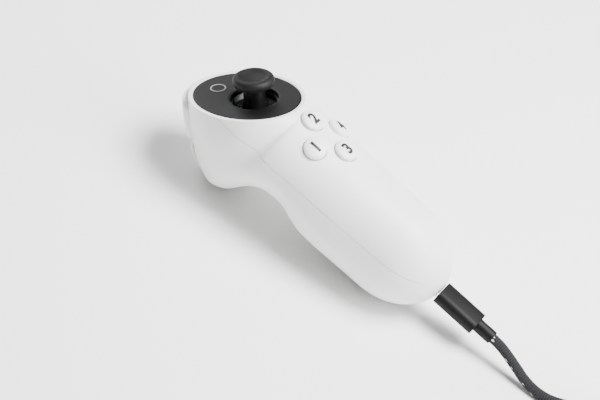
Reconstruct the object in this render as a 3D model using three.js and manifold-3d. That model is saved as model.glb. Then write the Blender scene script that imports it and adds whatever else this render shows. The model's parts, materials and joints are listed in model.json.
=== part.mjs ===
// A wired one-handed stick controller: club-shaped handle, slanted head with a thumbstick,
// four face buttons, a bumper and a trigger, and a plugged-in braided cable laid on the table.
// Millimetres, +Z up. The controller lies on its underside with the head towards -X.
import * as THREE from "three";
import { mergeVertices } from "three/addons/utils/BufferGeometryUtils.js";
import Module from "manifold-3d";

const wasm = await Module();
wasm.setup();

// ---------------------------------------------------------------- driving dimensions
// The handle frame: x runs up the handle axis from its tip, z towards the buttons, y to the left.
const HANDLE_RADIUS = 21.4; // height of the straight top line over the handle axis
const END_ROUNDING = 27; // length of the rounded handle end
const NECK_START = 90; // from here on the sections fan round towards the faceplate
const PLATE_REAR = 94; // where the top line meets the faceplate's plane
const PLATE_TILT = THREE.MathUtils.degToRad(32.5); // faceplate against the handle's top line
const REST_TILT = THREE.MathUtils.degToRad(10.1); // handle axis against the table
const AXIS_HEIGHT = 17.8; // handle axis over the table at the handle's tip
const CENTRE_X = 55.15; // table position of the handle's tip
const WALL = 2;
const SEAM_HEIGHT = 6.9; // parting plane of the two shells over the handle axis
const SEAM_GAP = 0.3;
const RUNNING_GAP = 0.4; // round everything that moves
const SEAT_GAP = 0.3; // between pieces that only touch on the real object
const EDGE_ROUND = 1.2;

// Underside depth and half width of the handle, then fan radius and half width of the head.
const UNDERSIDE = [[27, 22.7], [50, 22.7], [60, 22.3], [67, 19.8], [74, 16.6], [82, 16.2], [90, 19.7]];
const HALF_WIDTH = [[27, 21.9], [60, 23.1], [75, 22.6], [90, 23.7]];
const HEAD_REACH = [
  [0.04, 46.4], [0.09, 52.6], [0.15, 58.4], [0.3, 64.6],
  [0.5, 62.1], [0.7, 58.7], [0.85, 57.8], [1, 57.2],
];
const HEAD_HALF_WIDTH = [[0.25, 24], [0.6, 24.3], [1, 22.1]];

const RIM_WIDTH = 2;
const PLATE_THICKNESS = 1.6;
const WELL_OFFSET = -3.9; // thumbstick axis behind the faceplate's centre
const WELL_DIAMETER = 20.7;
const WELL_RING_WALL = 1.2;
const WELL_RING_HEIGHT = 2.6;
const MARK_OFFSET = 14.8;
const MARK_DIAMETER = 7;

const CAP_DIAMETER = 18;
const CAP_TOP = 10.5; // rim of the cap over the faceplate
const CAP_HEIGHT = 4.2;
const CAP_DISH = 1.6;
const PIVOT_DEPTH = 10;
const POST_DIAMETER = 9.4;
const DOME_RADIUS = 7.6;

const BUTTON_DIAMETER = 10;
const BUTTON_SPACING = BUTTON_DIAMETER + 9; // opposite buttons, middle to middle
const BUTTON_REACH = (BUTTON_SPACING + BUTTON_DIAMETER) / 2; // from the middle of the four
const BUTTON_CENTRE = PLATE_REAR - BUTTON_REACH - 2.5; // middle of the four buttons
const BUTTON_RAISE = 1.1;
const BUTTON_DOME = 0.9;
const BUTTON_TRAVEL = 1.2;

const BUMPER_TOP = -2.6; // heights below the faceplate's plane
const BUMPER_LENGTH = 20.6;
const TRIGGER_LENGTH = 12.6;
const CONTROL_GAP = 1.2; // shell strip between bumper and trigger
const CONTROL_HALF_WIDTH = 13.5;
const BUMPER_RAISE = 2.4;
const TRIGGER_RAISE = 2;
const CONTROL_THICKNESS = 2.2; // below the body's surface

const BOARD_THICKNESS = 1.6;
const BOARD_WIDTH = 25;
const SCREW_DIAMETER = 2.2;
const SCREW_HEAD = 4.4;

const PLUG_WIDTH = 11.8;
const PLUG_HEIGHT = 6.5;
const PLUG_LENGTH = 20.4;
const PORT_WIDTH = 8.3;
const PORT_HEIGHT = 2.4;
const PORT_DEPTH = 6.4;
const PORT_WALL = 0.5;
const PORT_DROP = 1.6; // port and plug below the handle axis
const RELIEF_DIAMETER = 6;
const RELIEF_LENGTH = 7.6;

const CORD_DIAMETER = 4.4;
const HANK_RUN = 70; // straight run of the tied hank
const HANK_FOLD = 27; // across the innermost turn, middle to middle
const HANK_COLUMNS = 2;
const HANK_LAYERS = 6;
const TURN_PITCH = 4.5; // turns lie a cable's width apart
const TIE_WIDTH = 8;
const TIE_THICKNESS = 1.2;
const FAR_PLUG_WIDTH = 15.6;
const FAR_PLUG_HEIGHT = 7.4;
const FAR_PLUG_LENGTH = 22;
const FAR_TIP_WIDTH = 12;
const FAR_TIP_HEIGHT = 4.5;
const FAR_TIP_LENGTH = 11.8;

// ---------------------------------------------------------------- small tools
/** Smooth curve through [position, value] pairs that never overshoots them. */
function smooth(pairs) {
  const n = pairs.length;
  const step = [];
  for (let i = 0; i < n - 1; i += 1) {
    step.push((pairs[i + 1][1] - pairs[i][1]) / (pairs[i + 1][0] - pairs[i][0]));
  }
  const slope = pairs.map((_, i) => {
    if (i === 0) return step[0];
    if (i === n - 1) return step[n - 2];
    const [a, b] = [step[i - 1], step[i]];
    return a * b <= 0 ? 0 : (2 * a * b) / (a + b);
  });
  return (at) => {
    const x = Math.min(Math.max(at, pairs[0][0]), pairs[n - 1][0]);
    let i = 0;
    while (i < n - 2 && x > pairs[i + 1][0]) i += 1;
    const width = pairs[i + 1][0] - pairs[i][0];
    const t = (x - pairs[i][0]) / width;
    const rest = 1 - t;
    return pairs[i][1] * (1 + 2 * t) * rest * rest + pairs[i + 1][1] * t * t * (3 - 2 * t)
      + width * (slope[i] * t * rest * rest - slope[i + 1] * t * t * rest);
  };
}

/** A geometry as a manifold solid. */
function solid(geometry) {
  const bare = geometry.clone();
  bare.deleteAttribute("normal");
  bare.deleteAttribute("uv");
  const merged = mergeVertices(bare, 1e-4);
  const vertProperties = Float32Array.from(merged.attributes.position.array);
  const triVerts = Uint32Array.from(merged.index.array);
  return new wasm.Manifold(new wasm.Mesh({ numProp: 3, vertProperties, triVerts }));
}

/** A manifold solid as a geometry with flat faces. */
function geometryOf(body) {
  const mesh = body.getMesh();
  const geometry = new THREE.BufferGeometry();
  geometry.setAttribute("position", new THREE.BufferAttribute(mesh.vertProperties, 3));
  geometry.setIndex(new THREE.BufferAttribute(mesh.triVerts, 1));
  return geometry;
}

/** The largest piece of a cut solid, without the slivers that a cut can leave. */
function mainPiece(body) {
  return body.decompose().reduce((a, b) => (b.volume() > a.volume() ? b : a));
}

/** Box between two corners. */
function box(low, high) {
  const size = high.map((v, i) => v - low[i]);
  const middle = high.map((v, i) => (v + low[i]) / 2);
  return solid(new THREE.BoxGeometry(...size).translate(...middle));
}

/** Cylinder or cone from a point along x, y or z. */
function rod(start, axis, length, diameter, sides = 20, endDiameter = diameter) {
  const shape = new THREE.CylinderGeometry(endDiameter / 2, diameter / 2, length, sides);
  shape.translate(0, length / 2, 0);
  if (axis === "x") shape.rotateZ(-Math.PI / 2);
  if (axis === "z") shape.rotateX(Math.PI / 2);
  return solid(shape.translate(...start));
}

/** Solid of revolution about z from [radius, height] pairs that start and end on the axis. */
function turned(profile, sides = 28) {
  const shape = new THREE.LatheGeometry(profile.map(([r, h]) => new THREE.Vector2(r, h)), sides);
  return solid(shape.rotateX(Math.PI / 2));
}

/** Slab along x with a rounded rectangular section. */
function roundedBar(start, length, width, height, radius, segments = 4) {
  const outline = new THREE.Shape();
  const [w, h] = [width / 2, height / 2];
  outline.moveTo(-w + radius, -h);
  outline.lineTo(w - radius, -h);
  outline.absarc(w - radius, -h + radius, radius, -Math.PI / 2, 0);
  outline.absarc(w - radius, h - radius, radius, 0, Math.PI / 2);
  outline.absarc(-w + radius, h - radius, radius, Math.PI / 2, Math.PI);
  outline.absarc(-w + radius, -h + radius, radius, Math.PI, 1.5 * Math.PI);
  const settings = { depth: length, bevelEnabled: false, curveSegments: segments };
  const shape = new THREE.ExtrudeGeometry(outline, settings);
  shape.rotateX(Math.PI / 2);
  shape.rotateZ(Math.PI / 2);
  return solid(shape.translate(...start));
}

const group = new THREE.Group();
const handle = new THREE.Group();
handle.matrixAutoUpdate = false;
handle.matrix.makeBasis(
  new THREE.Vector3(-Math.cos(REST_TILT), 0, Math.sin(REST_TILT)),
  new THREE.Vector3(0, -1, 0),
  new THREE.Vector3(Math.sin(REST_TILT), 0, Math.cos(REST_TILT)),
);
handle.matrix.setPosition(CENTRE_X, 0, AXIS_HEIGHT);
group.add(handle);

/** Named mesh in a parent, with a material of its own. */
function add(parent, name, body, color, roughness, metalness = 0) {
  const material = new THREE.MeshStandardMaterial({ color, roughness, metalness });
  const geometry = body.isBufferGeometry ? body : geometryOf(body);
  const mesh = new THREE.Mesh(geometry, material);
  mesh.name = name;
  parent.add(mesh);
}

const WHITE = 0xe9e9e7;
const BLACK = 0x1b1b1c;
const RUBBER = 0x242425;
const GREY = 0xb9babb;
const STEEL = 0xb4b6b9;
const BOARD = 0x1d4a33;

// ---------------------------------------------------------------- the body's surface
const undersideOf = smooth(UNDERSIDE);
const halfWidthOf = smooth(HALF_WIDTH);
const FAN_ANGLE = Math.PI / 2 - PLATE_TILT;
const PIVOT_RAISE = (PLATE_REAR - NECK_START) * Math.tan(PLATE_TILT);
const reachOf = smooth([[0, HANDLE_RADIUS + PIVOT_RAISE + undersideOf(NECK_START)], ...HEAD_REACH]);
const headWidthOf = smooth([[0, halfWidthOf(NECK_START)], ...HEAD_HALF_WIDTH]);

/** One section: an ellipse between a top and a bottom point of the mid plane, in the handle frame. */
function section(top, bottom, halfWidth, sides) {
  const points = [];
  for (let i = 0; i < sides; i += 1) {
    const angle = (2 * Math.PI * i) / sides;
    const share = (1 - Math.cos(angle)) / 2;
    const x = top[0] + (bottom[0] - top[0]) * share;
    const z = top[1] + (bottom[1] - top[1]) * share;
    points.push([x, halfWidth * Math.sin(angle), z]);
  }
  return points;
}

/** All sections of the body, set in by `inset` from the outer surface. */
function bodySections(inset, sides, rows) {
  const rings = [];
  const top = HANDLE_RADIUS - inset;
  const end = END_ROUNDING - inset;
  const under = undersideOf(END_ROUNDING) - inset;
  const width = halfWidthOf(END_ROUNDING) - inset;
  for (let i = 1; i <= rows.end; i += 1) {
    const angle = (Math.PI / 2) * (i / rows.end);
    const x = END_ROUNDING - end * Math.cos(angle);
    const share = Math.sin(angle);
    rings.push(section([x, top * share], [x, -under * share], width * share, sides));
  }
  for (let i = 1; i <= rows.handle; i += 1) {
    const x = END_ROUNDING + ((NECK_START - END_ROUNDING) * i) / rows.handle;
    rings.push(section([x, top], [x, inset - undersideOf(x)], halfWidthOf(x) - inset, sides));
  }
  const pivot = HANDLE_RADIUS + PIVOT_RAISE - inset / Math.cos(PLATE_TILT);
  for (let i = 1; i <= rows.head; i += 1) {
    const share = i / rows.head;
    const angle = FAN_ANGLE * share;
    const along = [Math.sin(angle), -Math.cos(angle)];
    const near = (pivot - top) / Math.cos(angle);
    const far = reachOf(share) - inset - (inset / Math.cos(PLATE_TILT)) * Math.cos(angle);
    const topPoint = [NECK_START + along[0] * near, pivot + along[1] * near];
    const bottomPoint = [NECK_START + along[0] * far, pivot + along[1] * far];
    rings.push(section(topPoint, bottomPoint, headWidthOf(share) - inset, sides));
  }
  return rings;
}

/** Closed body: rings joined, a pole at the handle's tip, a flat face in the last ring. */
function bodySolid(inset, sides, rows) {
  const rings = bodySections(inset, sides, rows);
  const vertices = [[inset, 0, 0], ...rings.flat()];
  const last = rings[rings.length - 1];
  const middle = [(last[0][0] + last[sides / 2][0]) / 2, 0, (last[0][2] + last[sides / 2][2]) / 2];
  vertices.push(middle);
  const index = [];
  const at = (ring, i) => 1 + ring * sides + (i % sides);
  for (let i = 0; i < sides; i += 1) {
    index.push(0, at(0, i), at(0, i + 1));
    index.push(vertices.length - 1, at(rings.length - 1, i + 1), at(rings.length - 1, i));
    for (let ring = 0; ring < rings.length - 1; ring += 1) {
      index.push(at(ring, i), at(ring + 1, i), at(ring + 1, i + 1));
      index.push(at(ring, i), at(ring + 1, i + 1), at(ring, i + 1));
    }
  }
  const geometry = new THREE.BufferGeometry();
  geometry.setAttribute("position", new THREE.Float32BufferAttribute(vertices.flat(), 3));
  geometry.setIndex(index);
  return solid(geometry);
}

// ---------------------------------------------------------------- the faceplate's frame
const PLATE_NEAR = PIVOT_RAISE / Math.sin(PLATE_TILT); // pivot to the faceplate's rear edge
const PLATE_HALF = (HEAD_REACH[HEAD_REACH.length - 1][1] - PLATE_NEAR) / 2;
const plateFrame = new THREE.Matrix4().makeRotationY(PLATE_TILT);
const plateCentre = PLATE_NEAR + PLATE_HALF;
plateFrame.setPosition(
  NECK_START + plateCentre * Math.cos(PLATE_TILT),
  0,
  HANDLE_RADIUS + PIVOT_RAISE - plateCentre * Math.sin(PLATE_TILT),
);
const plate = new THREE.Group();
plate.matrixAutoUpdate = false;
plate.matrix.copy(plateFrame);
handle.add(plate);

/** A solid drawn in the faceplate's frame, moved to the handle frame. */
const fromPlate = (body) => body.transform(plateFrame.elements);
/** A solid of the handle frame, moved to the faceplate's frame. */
const toPlate = (body) => body.transform(plateFrame.clone().invert().elements);

/** Upright elliptical disc in the faceplate's frame. */
function ellipseDisc(halfLength, halfWidth, low, high, sides = 40) {
  const shape = new THREE.CylinderGeometry(1, 1, high - low, sides).rotateX(Math.PI / 2);
  shape.scale(halfLength, halfWidth, 1).translate(0, 0, (low + high) / 2);
  return solid(shape);
}

const PLATE_LENGTH_HALF = PLATE_HALF - RIM_WIDTH;
const PLATE_WIDTH_HALF = HEAD_HALF_WIDTH[HEAD_HALF_WIDTH.length - 1][1] - RIM_WIDTH;

// ---------------------------------------------------------------- bumper and trigger
const TRIGGER_TOP = BUMPER_TOP - BUMPER_LENGTH - CONTROL_GAP;
const bumperHinge = [PLATE_HALF - 6.2, 0, BUMPER_TOP - 1.6];
const triggerHinge = [PLATE_HALF - 8.2, 0, TRIGGER_TOP - 1.6];
const HINGE_PIN = 2;

/** Region of a control in the faceplate's frame; its lower end is an arc about the hinge. */
function controlRegion({ hinge, top, length, side }, gap) {
  const block = box(
    [PLATE_HALF - 14 - 5 * gap, -side - gap, top - length - gap - 8],
    [PLATE_HALF + 12, side + gap, top + gap],
  );
  const reach = rod([hinge[0], -40, hinge[2]], "y", 80, 2 * (length - 1.6 + gap), 48);
  const wide = rod([PLATE_HALF - 15, 0, top - length / 2], "x", 30, 2 * side + 2 * gap + 6, 32);
  return block.intersect(reach).intersect(wide);
}

const BUMPER = {
  name: "bumper",
  hinge: bumperHinge,
  top: BUMPER_TOP,
  length: BUMPER_LENGTH + 1.2,
  side: CONTROL_HALF_WIDTH,
  raise: BUMPER_RAISE,
};
const TRIGGER = {
  name: "trigger",
  hinge: triggerHinge,
  top: TRIGGER_TOP,
  length: TRIGGER_LENGTH + 2.6,
  side: CONTROL_HALF_WIDTH - 2,
  raise: TRIGGER_RAISE,
};

/** Curved slab that follows the body's surface inside a region. */
function controlSlab(control) {
  const rows = { end: 4, handle: 6, head: 17 };
  const outer = bodySolid(-control.raise, 36, rows);
  const inner = bodySolid(CONTROL_THICKNESS, 36, rows);
  return toPlate(outer.subtract(inner)).intersect(controlRegion(control, 0));
}

// ---------------------------------------------------------------- shells
const OUTER_ROWS = { end: 7, handle: 10, head: 17 };
const INNER_ROWS = { end: 4, handle: 6, head: 9 };
const outerBody = bodySolid(0, 40, OUTER_ROWS);
const innerBody = bodySolid(WALL, 24, INNER_ROWS);

/** Softens the sharp edge between the side wall and the faceplate's plane. */
function rimChamfer() {
  const cone = new THREE.CylinderGeometry(1, 1 + 12 / 20, 12, 40).rotateX(Math.PI / 2);
  cone.scale(PLATE_HALF - EDGE_ROUND, PLATE_WIDTH_HALF + RIM_WIDTH - EDGE_ROUND, 1);
  cone.translate(0, 0, -6);
  return solid(cone);
}

const recess = ellipseDisc(
  PLATE_LENGTH_HALF + SEAT_GAP,
  PLATE_WIDTH_HALF + SEAT_GAP,
  -PLATE_THICKNESS - SEAT_GAP,
  5,
);
const opening = ellipseDisc(PLATE_LENGTH_HALF - 2.2, PLATE_WIDTH_HALF - 2.2, -20, 5);
const bumperWindow = controlRegion(BUMPER, RUNNING_GAP);
const triggerWindow = controlRegion(TRIGGER, RUNNING_GAP + 0.3);

/** Button places: centre on the surface and tilt of the axis towards the side. */
const BUTTONS = [
  { name: "button_left", along: 0, side: 1 },
  { name: "button_upper", along: 1, side: 0 },
  { name: "button_lower", along: -1, side: 0 },
  { name: "button_right", along: 0, side: -1 },
];
const SIDE_LEAN = Math.asin(BUTTON_SPACING / 2 / halfWidthOf(BUTTON_CENTRE)) * 0.85;

/** Matrix that stands a button, drawn along z, on the handle's surface. */
function buttonFrame({ along, side }) {
  const y = (side * BUTTON_SPACING) / 2;
  const depth = undersideOf(BUTTON_CENTRE);
  const middle = (HANDLE_RADIUS - depth) / 2;
  const half = (HANDLE_RADIUS + depth) / 2;
  const z = middle + half * Math.sqrt(1 - (y / halfWidthOf(BUTTON_CENTRE)) ** 2);
  const matrix = new THREE.Matrix4().makeRotationX(-side * SIDE_LEAN);
  matrix.setPosition(BUTTON_CENTRE + (along * BUTTON_SPACING) / 2, y, z);
  return matrix;
}

const buttonBore = rod([0, 0, -6], "z", 12, BUTTON_DIAMETER + 2 * RUNNING_GAP, 24);
const buttonHoles = BUTTONS.map((button) => buttonBore.transform(buttonFrame(button).elements));

// Screws along the handle's mid plane, one of them just behind the lower button.
const SCREW_PLACES = [20, BUTTON_CENTRE - BUTTON_REACH - 6.5];
const screwFloor = (x) => 4.5 - undersideOf(x);
const port = roundedBar([-2, 0, -PORT_DROP], 12, PORT_WIDTH + 2, PORT_HEIGHT + 2, 2);
const below = box([-20, -60, -90], [200, 60, SEAM_HEIGHT]);
const above = box([-20, -60, SEAM_HEIGHT + SEAM_GAP], [200, 60, 90]);

/** Table plane, which leaves small flat lands where the controller rests. */
function tablePlane() {
  const block = new THREE.BoxGeometry(400, 200, 40).translate(0, 0, -20);
  block.applyMatrix4(handle.matrix.clone().invert());
  return solid(block);
}

const belowPlate = rimChamfer().add(box([-160, -60, -160], [60, 60, -EDGE_ROUND]));
const hull = outerBody.intersect(fromPlate(belowPlate)).subtract(tablePlane());
const plateSeat = fromPlate(box([-60, -60, -PLATE_THICKNESS - 2], [60, 60, 20]));
let shell = hull.subtract(innerBody.subtract(plateSeat));
shell = shell.subtract(fromPlate(recess)).subtract(fromPlate(opening));
shell = shell.subtract(fromPlate(bumperWindow.add(triggerWindow))).subtract(port);
buttonHoles.forEach((hole) => { shell = shell.subtract(hole); });

let upper = shell.intersect(above);
let lower = shell.intersect(below);
SCREW_PLACES.forEach((x) => {
  const inside = bodySolid(0.6, 24, INNER_ROWS);
  const boss = rod([x, 0, SEAM_HEIGHT - 2], "z", 30, 6, 20).intersect(inside).intersect(above);
  const sleeve = rod([x, 0, -60], "z", 60 + SEAM_HEIGHT - 1, 7, 20).intersect(inside).intersect(below);
  upper = upper.add(boss).subtract(rod([x, 0, -60], "z", 60 + SEAM_HEIGHT + 8, SCREW_DIAMETER + 0.6, 16));
  lower = lower.add(sleeve).subtract(rod([x, 0, -60], "z", 80, SCREW_DIAMETER + 0.6, 16));
  lower = lower.subtract(rod([x, 0, -60], "z", 60 + screwFloor(x), SCREW_HEAD + 0.8, 20));
});
lower = lower.subtract(tablePlane());
add(handle, "upper_shell", mainPiece(upper), WHITE, 0.45);
add(handle, "lower_shell", mainPiece(lower), WHITE, 0.45);

SCREW_PLACES.forEach((x, i) => {
  const head = rod([x, 0, screwFloor(x) - 2 - SEAT_GAP], "z", 2, SCREW_HEAD, 20);
  const shank = rod([x, 0, screwFloor(x) - 1], "z", SEAM_HEIGHT + 7 - screwFloor(x), SCREW_DIAMETER, 16);
  const slot = rod([x, 0, screwFloor(x) - 3 - SEAT_GAP], "z", 2, 1.6, 6);
  add(handle, `shell_screw_${i + 1}`, head.add(shank).subtract(slot), STEEL, 0.35, 0.9);
});

// ---------------------------------------------------------------- faceplate and its mark
const well = rod([WELL_OFFSET, 0, -20], "z", 40, WELL_DIAMETER, 36);
const faceplate = ellipseDisc(PLATE_LENGTH_HALF, PLATE_WIDTH_HALF, -PLATE_THICKNESS, 0).subtract(well);
add(plate, "faceplate", faceplate, BLACK, 0.5);
const markOuter = rod([MARK_OFFSET, 0, 0.05], "z", 0.25, MARK_DIAMETER, 24);
const markInner = rod([MARK_OFFSET, 0, -1], "z", 3, MARK_DIAMETER - 2, 24);
add(plate, "faceplate_mark", markOuter.subtract(markInner), GREY, 0.4);

const ringTop = -PLATE_THICKNESS - SEAT_GAP;
const ringOuter = WELL_DIAMETER / 2 + WELL_RING_WALL;
const ringBody = rod(
  [WELL_OFFSET, 0, ringTop - WELL_RING_HEIGHT], "z", WELL_RING_HEIGHT, 2 * ringOuter, 28,
);
const wellRing = ringBody.subtract(rod([WELL_OFFSET, 0, -20], "z", 40, WELL_DIAMETER - 1.6, 28));
add(plate, "well_ring", wellRing, GREY, 0.5);

// ---------------------------------------------------------------- thumbstick
const stick = new THREE.Group();
stick.position.set(WELL_OFFSET, 0, -PIVOT_DEPTH); // tilts about this point
plate.add(stick);

const capRim = CAP_TOP + PIVOT_DEPTH;
const capFloor = capRim - CAP_HEIGHT;
const capRadius = CAP_DIAMETER / 2;
const cap = turned([
  [0, capFloor],
  [capRadius - 0.8, capFloor],
  [capRadius - 0.1, capFloor + 0.7],
  [capRadius - 0.1, capFloor + 1.6],
  [capRadius, capFloor + 2],
  [capRadius, capRim - 0.8],
  [capRadius - 0.35, capRim - 0.2],
  [capRadius - 1, capRim],
  [capRadius - 1.9, capRim - 0.25],
  [capRadius - 3.2, capRim - CAP_DISH * 0.75],
  [capRadius * 0.35, capRim - CAP_DISH],
  [0, capRim - CAP_DISH],
], 28);
const socket = rod([0, 0, capFloor - 1], "z", 2.6, POST_DIAMETER + 2 * SEAT_GAP, 20);
add(stick, "thumbstick_cap", cap.subtract(socket), RUBBER, 0.75);
add(stick, "thumbstick_post", rod([0, 0, 2.2], "z", capFloor - 2.2 + 1.3, POST_DIAMETER, 28), BLACK, 0.6);

const domeFloor = 3.8;
const domeSteps = 7;
const domeArc = [];
for (let i = 0; i <= domeSteps; i += 1) {
  const angle = Math.asin(domeFloor / DOME_RADIUS) + (i / domeSteps) * 0.95;
  domeArc.push([DOME_RADIUS * Math.cos(angle), DOME_RADIUS * Math.sin(angle)]);
}
const dome = turned([[0, domeFloor], ...domeArc, [0, domeArc[domeSteps][1]]], 20)
  .subtract(rod([0, 0, 0], "z", 20, POST_DIAMETER + 2 * SEAT_GAP, 20));
add(stick, "thumbstick_dome", dome, BLACK, 0.6);

const ROCKER = 5;
const rocker = box([-ROCKER / 2, -ROCKER / 2, -1.5], [ROCKER / 2, ROCKER / 2, 1.5])
  .add(rod([-6.2, 0, 0], "x", 12.4, 2, 16));
add(stick, "stick_rocker", rocker, STEEL, 0.4, 0.8);

const YOKE_HALF = 6.2 + 1.4;
const yokeArm = (x) => box([x, -2.2, -6], [x + 2.4, 2.2, 1.8]);
const yokePin = (y) => rod([0, y, -4.6], "y", 3.4, 1.8, 16);
const yoke = box([-YOKE_HALF, -2.2, -6], [YOKE_HALF, 2.2, -3.2])
  .add(yokeArm(-YOKE_HALF)).add(yokeArm(YOKE_HALF - 2.4))
  .add(yokePin(-5.4)).add(yokePin(2))
  .subtract(rod([-20, 0, 0], "x", 40, 2 + 2 * RUNNING_GAP, 16));
add(stick, "stick_yoke", yoke, STEEL, 0.4, 0.8);

const BASE_TOP = -9.4;
const BASE_HALF = 8.6;
const cheek = (y) => box([-3, y, BASE_TOP - 1], [3, y + 1.2, -2.8]);
const base = box([-BASE_HALF, -7.8, BASE_TOP - 1.4], [BASE_HALF, 7.8, BASE_TOP])
  .add(cheek(-5.9)).add(cheek(4.7))
  .subtract(rod([0, -20, -4.6], "y", 40, 1.8 + 2 * RUNNING_GAP, 16));
add(stick, "joystick_frame", base, STEEL, 0.4, 0.8);
add(stick, "joystick_board", box([-10.5, -10.5, BASE_TOP - 3.3], [10.5, 10.5, BASE_TOP - 1.7]), BOARD, 0.6);
add(stick, "tilt_sensor_side", box([-3, 6.4, BASE_TOP + SEAT_GAP], [3, 9.2, -1.6]), 0x26507a, 0.5);
add(stick, "tilt_sensor_front", box([9.9, -3, -6.4], [12, 3, 2]), 0x26507a, 0.5);
add(stick, "press_switch", box([-3, -10.2, BASE_TOP + SEAT_GAP], [3, -6.2, -5]), 0x2b2b2b, 0.5);

const springTurns = 3;
class SpringPath extends THREE.Curve {
  getPoint(t) {
    const angle = 2 * Math.PI * springTurns * t;
    return new THREE.Vector3(1.5 * Math.cos(angle), 1.5 * Math.sin(angle), BASE_TOP + 0.45 + 1.85 * t);
  }
}
const wire = new THREE.Shape().absarc(0, 0, 0.14, 0, 2 * Math.PI);
const springPath = { steps: 36, extrudePath: new SpringPath(), curveSegments: 2 };
const spring = new THREE.ExtrudeGeometry(wire, springPath);
add(stick, "return_spring", solid(spring), STEEL, 0.3, 0.9);

// ---------------------------------------------------------------- face buttons
const BUTTON_DEPTH = 4.6;
const FLANGE = 1.1;
const flangeTop = -WALL - 1.3;
BUTTONS.forEach((button) => {
  const radius = BUTTON_DIAMETER / 2;
  const profile = [[0, flangeTop - FLANGE], [radius + 0.9, flangeTop - FLANGE], [radius + 0.9, flangeTop]];
  profile.push([radius, flangeTop], [radius, BUTTON_RAISE - 0.3]);
  for (let i = 0; i < 4; i += 1) {
    const share = (radius - 0.3) * Math.cos((i / 4) * (Math.PI / 2));
    profile.push([share, BUTTON_RAISE + BUTTON_DOME * Math.sin((i / 4) * (Math.PI / 2))]);
  }
  profile.push([0, BUTTON_RAISE + BUTTON_DOME]);
  const shape = turned(profile, 22).transform(buttonFrame(button).elements);
  add(handle, button.name, shape, WHITE, 0.35);
});

const padTop = HANDLE_RADIUS - BUTTON_DEPTH - BUTTON_TRAVEL - 3.4;
const padFrom = BUTTON_CENTRE - BUTTON_REACH - 0.1;
const padTo = BUTTON_CENTRE + BUTTON_REACH - 0.3;
add(handle, "button_pad", box([padFrom, -12, padTop - 1.2], [padTo, 12, padTop]), 0x8d9094, 0.8);
add(handle, "button_board", box([padFrom, -12.6, padTop - 3.1], [padTo, 12.6, padTop - 1.5]), BOARD, 0.6);

// ---------------------------------------------------------------- main board and port
const boardTop = -PORT_DROP - PORT_HEIGHT / 2 - PORT_WALL - SEAT_GAP;
const boardCorner = (x, y) => [x, y, boardTop - BOARD_THICKNESS];
let mainBoard = box(boardCorner(10, -BOARD_WIDTH / 2), [84, BOARD_WIDTH / 2, boardTop]);
mainBoard = mainBoard.add(box(boardCorner(5, -6.5), [12, 6.5, boardTop]));
SCREW_PLACES.forEach((x) => { mainBoard = mainBoard.subtract(rod([x, 0, -30], "z", 60, 8, 20)); });
add(handle, "main_board", mainBoard, BOARD, 0.6);
add(handle, "control_chip", box([34, -4, boardTop + SEAT_GAP], [42, 4, boardTop + 1.6]), 0x232323, 0.5);
const portAt = [1.6, 0, -PORT_DROP];
const portHeight = PORT_HEIGHT + 2 * PORT_WALL;
const portShell = roundedBar(portAt, PORT_DEPTH + 2, PORT_WIDTH + 1.6, portHeight, 1.6);
const portMouth = [0, 0, -PORT_DROP];
const portRoom = [PORT_WIDTH + 2 * SEAT_GAP, PORT_HEIGHT + 0.5];
const portHollow = roundedBar(portMouth, PORT_DEPTH + 0.8, ...portRoom, 1.3);
add(handle, "usb_receptacle", portShell.subtract(portHollow), STEEL, 0.3, 0.9);

// ---------------------------------------------------------------- bumper and trigger
/** One control: a curved slab with two arms that turn on a steel pin. */
function addControl(control) {
  const { name, hinge, side } = control;
  const arm = (y) => box([hinge[0] - 2, y, hinge[2] - 2.2], [hinge[0] + 5.2, y + 2, hinge[2] + 1.2]);
  const skin = bodySolid(0.4, 40, { end: 4, handle: 6, head: 22 });
  const inside = toPlate(skin).intersect(controlRegion(control, 0));
  const room = inside.add(box([0, -9, -60], [hinge[0] + 2, 9, 0]));
  const arms = arm(side - 5).add(arm(3 - side)).intersect(room);
  const hole = rod([hinge[0], -30, hinge[2]], "y", 60, HINGE_PIN + 2 * RUNNING_GAP, 20);
  add(plate, name, controlSlab(control).add(arms).subtract(hole), WHITE, 0.4);
  const pin = rod([hinge[0], 2.6 - side, hinge[2]], "y", 2 * side - 5.2, HINGE_PIN, 16);
  add(plate, `${name}_pin`, pin, STEEL, 0.3, 0.9);
}

addControl(BUMPER);
addControl(TRIGGER);

const controlBoard = PLATE_HALF - 13.4; // upright board behind both controls
const controlBoardBody = box([controlBoard, -9, TRIGGER_TOP - 9], [controlBoard + 1.6, 9, -11]);
add(plate, "control_board", controlBoardBody, BOARD, 0.6);
const boardFront = controlBoard + 1.6 + SEAT_GAP;
add(plate, "bumper_switch", box([boardFront, -3, -20], [boardFront + 6, 3, -15]), 0x2b2b2b, 0.5);
const sensor = box([boardFront, -3, TRIGGER_TOP - 8], [boardFront + 2.4, 3, TRIGGER_TOP - 4]);
add(plate, "trigger_sensor", sensor, 0x2b2b2b, 0.5);

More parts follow.
